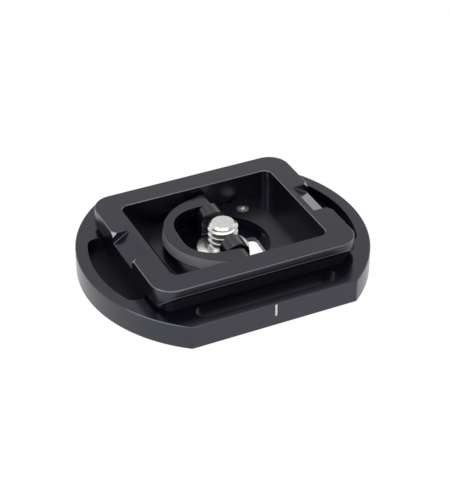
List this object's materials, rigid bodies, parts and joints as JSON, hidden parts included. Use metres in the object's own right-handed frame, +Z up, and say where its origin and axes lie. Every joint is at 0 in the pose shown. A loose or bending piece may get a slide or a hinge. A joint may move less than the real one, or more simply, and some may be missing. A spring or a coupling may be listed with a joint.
{
  "type": "tripod quick release plate",
  "caption": "Round black quick release plate with two flats, a raised dovetail frame, and a captive camera screw turned by a folding finger ring in the frame's pocket.",
  "frame": {"origin": "centre of the plate's underside", "axes": "+X along the dovetail frame's long side, +Y away from the index line, +Z up through the camera screw's tip"},
  "size_m": [0.0622, 0.05, 0.0104],
  "materials": {
    "black_anodised": "satin",
    "black_steel": "satin",
    "bright_steel": "polished",
    "washer_plastic": "matte"
  },
  "bodies": {
    "plate": {"plate_body": "black_anodised", "retainer_plate": "black_steel", "retainer_screws": "bright_steel", "thrust_washer": "washer_plastic"},
    "carrier": {"turn_carrier": "black_anodised", "hinge_lug_front": "black_steel", "hinge_lug_rear": "black_steel", "lug_screws": "bright_steel", "hinge_pin_front": "bright_steel", "hinge_pin_rear": "bright_steel"},
    "screw": {"camera_screw": "bright_steel"},
    "ring": {"finger_ring": "black_steel"}
  },
  "joints": [
    {"name": "carrier_turn", "type": "hinge", "parent": "plate", "child": "carrier", "pos_m": [0, 0, 0.0018], "axis": [0, 0, 1], "continuous": true},
    {"name": "screw_lift", "type": "slide", "parent": "carrier", "child": "screw", "axis": [0, 0, 1], "range_m": [0, 0.005]},
    {"name": "ring_fold", "type": "hinge", "parent": "carrier", "child": "ring", "pos_m": [0, 0, 0.0068], "axis": [0.0628, 0.998, 0], "range_deg": [0, 180]}
  ]
}
